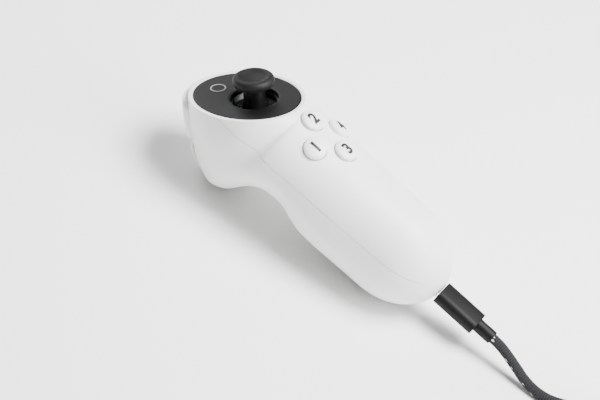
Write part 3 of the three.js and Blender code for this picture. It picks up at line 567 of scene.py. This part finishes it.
def control_patch(name, kind, grow, low, high, edge, rings=10, sides=120):
    """Solid that follows the body's front inside a rounded outline. The outline is a squircle
    in the body's own width and height; from its middle the surface runs out at height `high`,
    rounds over its edge and returns at height `low`."""
    bottom, top, half, _ = CONTROL_PATCHES[kind]
    middle, extent = (bottom + top) / 2, (top - bottom) / 2
    reach = float(reach_of(middle)) * FAN_ANGLE
    angle = np.linspace(0, 2 * math.pi, sides, endpoint=False)
    power = 2 / 5
    wide = np.sign(np.cos(angle)) * np.abs(np.cos(angle)) ** power
    tall = np.sign(np.sin(angle)) * np.abs(np.sin(angle)) ** power
    turn = np.linspace(0, math.pi / 2, 7)
    outer = [(0.0, high)] + [(t, high) for t in np.linspace(0.12, 0.8, rings)]
    path = [(f, h, 0.0) for f, h in outer]
    path += [(1.0, high - edge * (1 - math.cos(t)), edge * (1 - math.sin(t))) for t in turn]
    path += [(1.0, low, 0.0)] + [(f, low, 0.0) for f in (0.75, 0.5, 0.25, 0.0)]
    rows = []
    for share, height, inset in path:
        side = (half + grow - inset) * wide * share
        rise = middle + (extent + (grow - inset) / reach) * tall * share
        width = head_width_of(rise)
        around = math.pi - np.arcsin(np.clip(side / width, -0.95, 0.95))
        rows.append(body_surface(2 + rise, around, height))
    return closed_grid(name, np.array(rows), HANDLE)


BUTTONS = {
    "button_left": (0, 1, "1"),
    "button_upper": (1, 0, "2"),
    "button_lower": (-1, 0, "3"),
    "button_right": (0, -1, "4"),
}
SIDE_LEAN = math.asin(BUTTON_SPACING / 2 / float(half_width_of(BUTTON_CENTRE))) * 0.85


def button_place(along, side):
    """Place of a button: z points out of the handle's surface."""
    y = side * BUTTON_SPACING / 2
    depth = float(underside_of(BUTTON_CENTRE))
    half = (HANDLE_RADIUS + depth) / 2
    lift = math.sqrt(1 - (y / float(half_width_of(BUTTON_CENTRE))) ** 2)
    z = (HANDLE_RADIUS - depth) / 2 + half * lift
    place = shifted(HANDLE, BUTTON_CENTRE + along * BUTTON_SPACING / 2, y, z)
    return turned_about_x(place, -side * SIDE_LEAN)


def make_shells():
    """Upper and lower shell: outer body less the inner one, parted at the seam, with openings."""
    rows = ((26, 44, 64))
    outer = body_solid("shell", 0.0, 144, rows)
    carve(outer, block((-300, -100, -200), (300, 100, 0), TABLE))
    inner = body_solid("cutter", -WALL, 72, (12, 20, 30))
    carve(inner, block((-60, -60, -PLATE_THICKNESS - 2), (80, 60, 20), PLATE))
    carve(outer, inner)
    recess = (PLATE_HALF - RIM_WIDTH + 0.15, PLATE_SIDE - RIM_WIDTH + 0.15)
    carve(outer, upright_ellipse(*recess, -PLATE_THICKNESS - 0.1, 5, flare=0.25))
    inside = (PLATE_HALF - RIM_WIDTH - 2.2, PLATE_SIDE - RIM_WIDTH - 2.2)
    carve(outer, upright_ellipse(*inside, -20, 5))
    for kind, (_, _, _, rise) in CONTROL_PATCHES.items():
        gap = RUNNING_GAP + (TRIGGER_ROOM if kind == "trigger" else 0)
        carve(outer, control_patch("cutter", kind, gap, -6, rise + 3, 0.1))
    for along, side, _ in BUTTONS.values():
        hole, mouth_edge = BUTTON_RADIUS + BUTTON_GAP, BUTTON_RADIUS + BUTTON_CHAMFER
        mouth = [(hole, -8), (hole, -0.25), (mouth_edge, 0.3), (mouth_edge, 6)]
        carve(outer, around_axis("cutter", mouth, button_place(along, side), 72))
    port = bar("cutter", (-2, 0, -PORT_DROP), 12, PORT_WIDTH + 2, PORT_HEIGHT + 2, 2, HANDLE)
    carve(outer, port)
    upper = copy_of(outer, "upper_shell_skin")
    outer.name = "lower_shell_skin"
    half_gap = SEAM_GAP / 2
    carve(upper, block((-20, -60, -120), (200, 60, SEAM_HEIGHT + half_gap), HANDLE))
    carve(outer, block((-20, -60, SEAM_HEIGHT - half_gap), (200, 60, 90), HANDLE))
    for piece, node in ((upper, "upper_shell"), (outer, "lower_shell")):
        finish_shading(piece, 32)
        finish_piece(piece, WHITE_SHELL, "housing", "white_shell", node)


make_shells()


# ------------------------------------------------------------------ faceplate and mark
def make_faceplate():
    """Black plate: rings run from a round well to an elliptical edge, over the top, round the
    edge and back underneath; the top edges are rounded."""
    sides = 160
    angle = np.linspace(0, 2 * math.pi, sides, endpoint=False)
    well = np.stack([WELL_OFFSET + WELL_RADIUS * np.cos(angle), WELL_RADIUS * np.sin(angle)], -1)
    rim = np.stack([(PLATE_HALF - RIM_WIDTH) * np.cos(angle),
                    (PLATE_SIDE - RIM_WIDTH) * np.sin(angle)], -1)
    path = [(0.0, -PLATE_THICKNESS), (0.0, -0.35), (0.008, -0.12), (0.03, 0.0)]
    path += [(t, 0.0) for t in np.linspace(0.1, 0.95, 10)]
    path += [(0.985, -0.03), (0.997, -0.12), (1.0, -0.3), (1.0, -PLATE_THICKNESS)]
    rows = [np.column_stack([well + (rim - well) * t, np.full(sides, h)]) for t, h in path]
    rows.append(rows[0])
    grid = np.array(rows)
    piece = new_mesh("faceplate_skin", grid, grid_faces(len(rows), sides), PLATE)
    finish_piece(piece, BLACK_PLATE, "housing", "black_plate", "faceplate")
    ring = [(MARK_RADIUS - 0.7, 0.02), (MARK_RADIUS - 0.7, 0.1), (MARK_RADIUS - 0.65, 0.14),
            (MARK_RADIUS - 0.05, 0.14), (MARK_RADIUS, 0.1), (MARK_RADIUS, 0.02)]
    turn = np.linspace(0, 2 * math.pi, 96, endpoint=False)
    rows = [np.stack([r * np.cos(turn), r * np.sin(turn), turn * 0 + h], -1)
            for r, h in ring + ring[:1]]
    mark = new_mesh("faceplate_mark_ring", np.array(rows), grid_faces(len(rows), 96),
                    shifted(PLATE, x=MARK_OFFSET))
    finish_piece(mark, MARK_GREY, "housing", "grey_plastic", "faceplate_mark")


make_faceplate()


def make_well_ring():
    """Collar under the plate's well. It is black but for a pale arc over a quarter of its inner wall,
    painted light laid where that wall faces the light; each is a rectangle of radius and height
    carried round an arc."""
    place = shifted(PLATE, x=WELL_OFFSET)
    top = -PLATE_THICKNESS - SEAT_GAP
    for name, material, slot, inner, outer, first, last in (
        ("well_ring_skin", ACETAL, "black_plastic", WELL_LIP, WELL_RADIUS + 1.1, 0, 2 * math.pi),
        # the second piece is painted light: pale grey only where light falls on the inner wall
        ("well_ring_painted_lit_arc", GREY_PLASTIC_AND_LIT_ARC, "grey_plastic", WELL_LIP - 0.05, WELL_LIP + 0.1,
         LIT_ARC_START, LIT_ARC_END),
    ):
        section = [(inner, -WELL_DEPTH), (outer, -WELL_DEPTH), (outer, top), (inner, top)]
        whole = last - first > 6
        turn = np.linspace(first, last, 97)[:-1] if whole else np.linspace(first, last, 41)
        rows = np.array([[(r * math.cos(t), r * math.sin(t), z) for r, z in section] for t in turn])
        if whole:
            rows = rows.transpose(1, 0, 2)
            rows = np.concatenate([rows, rows[:1]])
            piece = new_mesh(name, rows, grid_faces(5, len(turn)), place)
        else:
            piece = closed_grid(name, rows, place)
        finish_piece(piece, material, "housing", slot, *(["well_ring"] if whole else []))


make_well_ring()


# ------------------------------------------------------------------ thumbstick
def make_thumbstick():
    """Cap with a round shoulder, a dished top and a ribbed lower band; below it a thick neck
    that flares into the round skirt."""
    rim = CAP_TOP + PIVOT_DEPTH
    floor = rim - CAP_HEIGHT
    r = CAP_RADIUS
    crown = r - SHOULDER
    turn = np.linspace(-0.25, math.pi / 2 + DISH_TURN, 22)
    lip = [(crown + SHOULDER * math.cos(t), rim - SHOULDER + SHOULDER * math.sin(t)) for t in turn]
    edge, depth = lip[-1][0], CAP_DISH - (rim - lip[-1][1])
    power = math.tan(DISH_TURN) * edge / depth  # so that the dish leaves the shoulder smoothly
    dish = [(edge * s, rim - CAP_DISH + depth * s ** power) for s in np.linspace(0.95, 0.02, 14)]
    band = r - 0.7
    profile = [(POST_RADIUS - 0.2, floor + 0.4), (POST_RADIUS, floor), (band - 0.6, floor),
               (band - 0.15, floor + 0.12), (band, floor + 0.4), (band, floor + 1.35),
               (band + 0.15, floor + 1.5)] + lip + dish

    def knurl(angle, height):
        low, high = (height - floor - 0.2) / 0.3, (floor + 1.5 - height) / 0.2
        return 0.24 * np.clip(low, 0, 1) * np.clip(high, 0, 1) * np.sin(48 * angle)

    cap = around_axis("thumbstick_cap_skin", profile, STICK, 480, knurl, 40)
    finish_piece(cap, STICK_RUBBER, "thumbstick", "stick_rubber", "thumbstick_cap")
    low, high = math.asin(3.8 / DOME_RADIUS), math.acos((POST_RADIUS + 1.3) / DOME_RADIUS)
    skirt = [(DOME_RADIUS * math.cos(t), DOME_RADIUS * math.sin(t))
             for t in np.linspace(low, high, 8)]
    foot, knee, neck = np.array([skirt[-1], (POST_RADIUS + 0.25, 5.9), (POST_RADIUS + 0.05, 9.2)])
    flare = [foot * (1 - t) ** 2 + 2 * knee * t * (1 - t) + neck * t ** 2
             for t in np.linspace(0, 1, 14)]
    inside = [(POST_RADIUS - 0.6, 3.8)], [(POST_RADIUS - 0.6, 9.2)]
    dome = around_axis("thumbstick_dome_skin", inside[0] + skirt + flare[1:] + inside[1], STICK, 96)
    finish_piece(dome, ACETAL, "thumbstick", "black_plastic", "thumbstick_dome")
    column = [(POST_RADIUS - 0.3, 3.9), (POST_RADIUS, 4.2), (POST_RADIUS, floor + 1)]
    post = around_axis("thumbstick_post_skin", column, STICK, 96)
    finish_piece(post, ACETAL, "thumbstick", "black_plastic", "thumbstick_post")


make_thumbstick()


# ------------------------------------------------------------------ face buttons
def split_faces(mesh):
    """Cuts a flat text's faces small enough to follow a dome."""
    work = bmesh.new()
    work.from_mesh(mesh)
    bmesh.ops.triangulate(work, faces=work.faces)
    for _ in range(2):
        bmesh.ops.subdivide_edges(work, edges=work.edges, cuts=1, use_grid_fill=True)
        bmesh.ops.triangulate(work, faces=work.faces)
    work.to_mesh(mesh)
    work.free()


def make_numeral(name, digit, place, body):
    """Printed digit: flat text laid on the button's dome, height from the dome's ellipsoid."""
    curve = bpy.data.curves.new(name, "FONT")
    curve.body = digit
    curve.size = 7.2
    curve.offset = 0.3
    curve.align_x = "CENTER"
    curve.align_y = "CENTER"
    curve.resolution_u = 6
    text = bpy.data.objects.new(name, curve)
    bpy.context.scene.collection.objects.link(text)
    mesh = bpy.data.meshes.new_from_object(
        text.evaluated_get(bpy.context.evaluated_depsgraph_get()))
    bpy.data.objects.remove(text)
    split_faces(mesh)
    flat = np.empty(len(mesh.vertices) * 3)
    mesh.vertices.foreach_get("co", flat)
    flat = flat.reshape(-1, 3)
    across, up = flat[:, 0], flat[:, 1]
    # The digit reads from the controller's left side to its right, seen from the cable end.
    x, y = up, -across
    share = np.clip(1 - (x ** 2 + y ** 2) / (BUTTON_RADIUS - 0.3) ** 2, 0, 1)
    z = BUTTON_RAISE + BUTTON_DOME * np.sqrt(share) + 0.07
    faces = [list(p.vertices) for p in mesh.polygons]
    bpy.data.meshes.remove(mesh)
    numeral = new_mesh(name, np.stack([x, y, z], -1), faces, place)
    thick = numeral.modifiers.new("ink", "SOLIDIFY")
    thick.thickness = 0.02 * MM
    thick.offset = 1.0
    finish_piece(numeral, INK, body, "component_black")


def make_buttons():
    """Round buttons: straight side, small edge radius and an ellipsoid dome; flange inside."""
    r = BUTTON_RADIUS
    turn = np.linspace(0, math.pi / 2, 18)
    dome = [((r - 0.3) * math.cos(t), BUTTON_RAISE + BUTTON_DOME * math.sin(t)) for t in turn[:-1]]
    profile = [(0.5, BUTTON_FLOOR), (r + 0.9, BUTTON_FLOOR), (r + 0.9, BUTTON_FLOOR + 1.1),
               (r, BUTTON_FLOOR + 1.1), (r, BUTTON_RAISE - 0.35), (r - 0.08, BUTTON_RAISE - 0.1)]
    profile += dome + [(0.02, BUTTON_RAISE + BUTTON_DOME)]
    for name, (along, side, digit) in BUTTONS.items():
        place = button_place(along, side)
        button = around_axis(name + "_skin", profile, place, 72)
        finish_piece(button, WHITE_SMOOTH, name, "white_gloss", name)
        make_numeral(name + "_numeral", digit, place, name)


make_buttons()


# ------------------------------------------------------------------ bumper and trigger
for control, (_, _, _, rise) in CONTROL_PATCHES.items():
    pad = control_patch(control + "_skin", control, 0.0, -CONTROL_THICKNESS, rise, 1.3, 14, 160)
    finish_piece(pad, WHITE_SMOOTH, control, "white_gloss", control)


# ------------------------------------------------------------------ plugs
def make_plugs():
    """Plug grips and strain reliefs at both ends of the cable."""
    grip = bar("plug_overmold_skin", (PLUG_END - PLUG_LENGTH, 0, -PORT_DROP), PLUG_LENGTH,
               PLUG_WIDTH, PLUG_HEIGHT, 3.1, HANDLE, 0.35)
    finish_piece(grip, PLUG_GRIP, "housing", "black_plastic", "plug_overmold")
    start = PLUG_END - PLUG_LENGTH - SEAT_GAP - RELIEF_LENGTH
    r = RELIEF_RADIUS
    sleeve = [(CORD_DIAMETER / 2 + 0.1, -RELIEF_LAP), (r - 0.3, -RELIEF_LAP),
              (r - 0.05, 0.2 - RELIEF_LAP), (r, 0.5 - RELIEF_LAP),
              (r, RELIEF_LENGTH + 0.4), (r - 0.6, RELIEF_LENGTH + 0.5)]
    lengthwise = basis((0, 0, 1), (0, 1, 0), (1, 0, 0), (0, 0, 0))
    relief = around_axis("strain_relief_skin", sleeve,
                         shifted(HANDLE, start, 0, -PORT_DROP) @ lengthwise, 64)
    finish_piece(relief, PLUG_GRIP, "housing", "black_plastic", "strain_relief")
    low, high = (np.array(c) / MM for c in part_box("far_plug"))
    middle = (low + high) / 2
    far = bar("far_plug_skin", (low[0], middle[1], middle[2]), high[0] - low[0], FAR_PLUG_WIDTH,
              FAR_PLUG_HEIGHT, 2.0, TABLE, 0.9, 0.4)
    finish_piece(far, PLUG_GRIP, "housing", "black_plastic", "far_plug")
    low, high = (np.array(c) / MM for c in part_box("far_strain_relief"))
    middle = (low + high) / 2
    place = basis((0, 0, 1), (0, 1, 0), (1, 0, 0), (low[0], middle[1], middle[2]))
    far_relief = around_axis("far_strain_relief_skin", sleeve, place, 64)
    finish_piece(far_relief, PLUG_GRIP, "housing", "black_plastic", "far_strain_relief")


make_plugs()


# ------------------------------------------------------------------ cable
def winding_order():
    """Cells of the hank in winding order, as (column from the inside, layer): in at the lowest
    outer cell, up the inner column, down the outer one and out one layer above the first."""
    up = [(0, layer) for layer in range(HANK_LAYERS)]
    down = [(1, layer) for layer in range(HANK_LAYERS - 1, 0, -1)]
    return [(1, 0)] + up + down


def racetrack(share, radius):
    """Point on two straight runs joined by half circles. A whole turn is a share of 1: along
    the far run towards +x, round the end, back along the near run and round the other end.
    Every radius uses the same shares, those of the middle radius."""
    middle = HANK_FOLD / 2 + TURN_PITCH / 2
    arc = math.pi * middle / (2 * math.pi * middle + 2 * HANK_RUN)
    run = 0.5 - arc
    share = np.mod(share, 1)
    half = np.where(share < 0.5, 0, 1)
    part = share - half / 2
    sign = 1 - 2 * half
    straight = np.clip(part / run, 0, 1)
    angle = np.pi / 2 - np.clip((part - run) / arc, 0, 1) * np.pi
    bent = part > run
    x = np.where(bent, HANK_RUN / 2 + radius * np.cos(angle), HANK_RUN * (straight - 0.5))
    y = np.where(bent, radius * np.sin(angle), radius)
    return x * sign, y * sign


def eased(share):
    """Step from 0 to 1 in two parabolas, so that the bend is the same all along."""
    share = np.clip(share, 0, 1)
    return np.where(share < 0.5, 2 * share ** 2, 1 - 2 * (1 - share) ** 2)


def hank_points(centre, beside, rest):
    """The wound part. The cable goes round one cell's racetrack and shifts to the next cell on
    the near run, once a turn. Shifts in one direction share a stretch, where the strands stay
    parallel; where the direction changes, the next shift comes a stretch earlier, so that its
    new cell is empty."""
    cells = winding_order()
    radius = [HANK_FOLD / 2 + TURN_PITCH * column for column, _ in cells]
    height = [HANK_LIFT + TURN_PITCH * (layer + 0.5) for _, layer in cells]
    stretch = [3] + [2] * (HANK_LAYERS - 1) + [1] + [0] * (HANK_LAYERS - 2)
    width, first, settle = 0.0732, 0.025, 0.08
    wound = np.arange(first, len(cells) - 1 + LEAVES, 1 / 64)
    r = np.full(len(wound), radius[0])
    z = np.full(len(wound), height[0])
    for i in range(1, len(cells)):
        ease = eased((wound - (i - 0.5) - stretch[i - 1] * width) / width)
        r += (radius[i] - radius[i - 1]) * ease
        z += (height[i] - height[i - 1]) * ease
    enter = 1 - eased((wound - first) / settle)
    r += (beside - radius[0]) * enter
    z += (rest - height[0]) * enter
    x, y = racetrack(wound, r)
    return np.stack([centre[0] + x, centre[1] + y, z], -1)


def cable_points():
    """Line of the cable: the free stretch, the tied hank and the tail to the far plug."""
    start_x = PLUG_END - PLUG_LENGTH - 2 * SEAT_GAP - RELIEF_LENGTH
    start = HANDLE @ np.array([start_x, 0, -PORT_DROP, 1])
    rest = CORD_DIAMETER / 2 + 0.1
    free = np.array([
        (0, 0, 0), (4, -0.1, -0.8), (9, -0.5, -2.5), (15, -1.2, -5), (21, -1.9, -7.5),
        (27, -2.3, -8.7), (33, -1.8, -12), (39, 0.6, -12), (45, 4.6, -12), (51, 9.3, -12),
        (57, 13.4, -12), (64, 16.9, -12), (71, 18.5, -12), (80, 18.65, -12),
    ], float)
    free[:, 0] += start[0]
    free[:, 2] = np.maximum(free[:, 2] + start[2], rest)
    outside = HANK_FOLD / 2 + TURN_PITCH * 1.5
    beside = outside + CORD_DIAMETER / 2 + 2 * SEAT_GAP
    centre = free[-1, :2] + (HANK_RUN / 2 - 5, -beside)
    wound = hank_points(centre, beside, rest)
    aside = outside + FAR_PLUG_WIDTH / 2 + 0.75
    level = FAR_PLUG_HEIGHT / 2 + 0.1
    side, high = HANK_FOLD / 2 + TURN_PITCH, HANK_LIFT + TURN_PITCH * 1.5
    x = np.append(np.linspace(-17, 18, 12), 18 + 2 * SEAT_GAP)
    y = side + (aside - side) * eased((x + 17) / 35)
    z = high + (level - high) * eased((x + 5) / 23)
    tail = np.stack([centre[0] + x, centre[1] + y, z], -1)
    return np.concatenate([free, wound, tail]), centre


def even_line(points, step):
    """The same line with evenly spaced points: centripetal Catmull-Rom pieces, then equal
    steps of length."""
    ends = np.concatenate([2 * points[:1] - points[1:2], points, 2 * points[-1:] - points[-2:-1]])
    gap = np.sqrt(np.linalg.norm(np.diff(ends, axis=0), axis=1))
    knots = np.concatenate([[0], np.cumsum(gap)])
    fine = []
    share = np.linspace(0, 1, 9)[:-1][:, None]
    for i in range(1, len(ends) - 2):
        t = knots[i] + (knots[i + 1] - knots[i]) * share
        rows = [ends[i - 1 + j] for j in range(4)]
        k = knots[i - 1:i + 3]
        a = [(k[j + 1] - t) / (k[j + 1] - k[j]) * rows[j]
             + (t - k[j]) / (k[j + 1] - k[j]) * rows[j + 1] for j in range(3)]
        b = [(k[j + 2] - t) / (k[j + 2] - k[j]) * a[j] + (t - k[j]) / (k[j + 2] - k[j]) * a[j + 1]
             for j in range(2)]
        fine.append((k[2] - t) / (k[2] - k[1]) * b[0] + (t - k[1]) / (k[2] - k[1]) * b[1])
    line = np.concatenate(fine + [ends[-2:-1]])
    length = np.concatenate([[0], np.cumsum(np.linalg.norm(np.diff(line, axis=0), axis=1))])
    even = np.linspace(0, length[-1], int(length[-1] / step) + 1)
    return np.stack([np.interp(even, length, line[:, i]) for i in range(3)], -1), length[-1]


def make_cable():
    """Braided cable: a circle carried along the line without twist, with the length and the
    girth as its own map."""
    points, centre = cable_points()
    line, length = even_line(points, 1.6)
    ahead = np.gradient(line, axis=0)
    ahead /= np.linalg.norm(ahead, axis=1)[:, None]
    side = np.cross(ahead, (0, 0, 1.0))
    side /= np.linalg.norm(side, axis=1)[:, None]
    over = np.cross(side, ahead)
    sides = 16
    angle = np.linspace(0, 2 * math.pi, sides, endpoint=False)
    ring = (side[:, None] * np.cos(angle)[None, :, None]
            + over[:, None] * np.sin(angle)[None, :, None])
    grid = line[:, None] + ring * CORD_DIAMETER / 2
    rows = len(line)
    world = grid.reshape(-1, 3) * MM
    mesh = bpy.data.meshes.new("braided_cable")
    quads = grid_faces(rows, sides)
    faces = [list(f) for f in quads[:, ::-1]]
    faces += [list(range(sides)), list(range((rows - 1) * sides, rows * sides))[::-1]]
    mesh.from_pydata(world.tolist(), [], faces)
    corner = np.empty(len(mesh.loops), int)
    mesh.loops.foreach_get("vertex_index", corner)
    along = (corner // sides) * (length / (rows - 1)) * MM
    girth = (corner % sides) / sides
    wrapped = np.zeros(len(corner), bool)
    body_loops = 4 * len(quads)
    low = girth[:body_loops].reshape(-1, 4).min(1) == 0
    high = girth[:body_loops].reshape(-1, 4).max(1) > 0.9
    wrapped[:body_loops] = np.repeat(low & high, 4)
    girth = np.where(wrapped & (girth == 0), 1.0, girth)
    layer = mesh.uv_layers.new(name="sleeve")
    layer.data.foreach_set("uv", np.stack([along, girth], -1).ravel())
    piece = bpy.data.objects.new("braided_cable", mesh)
    bpy.context.scene.collection.objects.link(piece)
    finish_shading(piece, 50)
    finish_piece(piece, BRAID, "housing", "cable_braid", "cable", "cable_coil", "cable_tail")


make_cable()


# ------------------------------------------------------------------ floor, light, camera
def make_stage():
    """Pale floor, three large soft lights aimed at the middle, and a pale surround."""
    half = 3.0
    mesh = bpy.data.meshes.new("floor")
    mesh.from_pydata([(-half, -half, 0), (half, -half, 0), (half, half, 0), (-half, half, 0)], [],
                     [(0, 1, 2, 3)])
    floor = bpy.data.objects.new("floor", mesh)
    floor.location.z = -0.0002
    bpy.context.scene.collection.objects.link(floor)
    material, _, _ = plain("pale floor", "#F8F8F7", 0.8)
    mesh.materials.append(material)
    for name, place, size, power in (
        ("key", (0.3, 0.15, 0.9), 0.5, 33.0),
        ("side", (0.75, 0.1, 0.5), 0.5, 9.0),
        ("back", (-0.75, 0.35, 0.45), 0.5, 5.0),
    ):
        light = bpy.data.lights.new(name, "AREA")
        light.size = size
        light.energy = power
        lamp = bpy.data.objects.new(name, light)
        lamp.location = place
        lamp.rotation_euler = (-Vector(place)).to_track_quat("-Z", "Y").to_euler()
        bpy.context.scene.collection.objects.link(lamp)
    world = bpy.data.worlds.new("surround")
    world.use_nodes = True
    background = world.node_tree.nodes["Background"]
    background.inputs["Color"].default_value = linear("#F4F5F6")
    background.inputs["Strength"].default_value = 0.26
    bpy.context.scene.world = world


def make_camera():
    """Long lens, above and beside the cable end, rolled so that the faceplate sits level."""
    azimuth, elevation, roll = (math.radians(v) for v in (18.57, 41.33, 22.25))
    back = np.array([math.sin(azimuth) * math.cos(elevation),
                     -math.cos(azimuth) * math.cos(elevation), math.sin(elevation)])
    right = np.cross((0, 0, 1), back)
    right /= np.linalg.norm(right)
    up = np.cross(back, right)
    tilted_right = math.cos(roll) * right + math.sin(roll) * up
    tilted_up = math.cos(roll) * up - math.sin(roll) * right
    aim = np.array([-10, 0, 25.0])
    eye = aim + tilted_right * -9.82 + tilted_up * -3.69 + back * 764.5
    lens = bpy.data.cameras.new("camera")
    lens.sensor_width = 36
    lens.lens = 107.7
    camera = bpy.data.objects.new("camera", lens)
    camera.matrix_world = Matrix(basis(tilted_right, tilted_up, back, eye * MM).tolist())
    bpy.context.scene.collection.objects.link(camera)
    bpy.context.scene.camera = camera


make_stage()
make_camera()
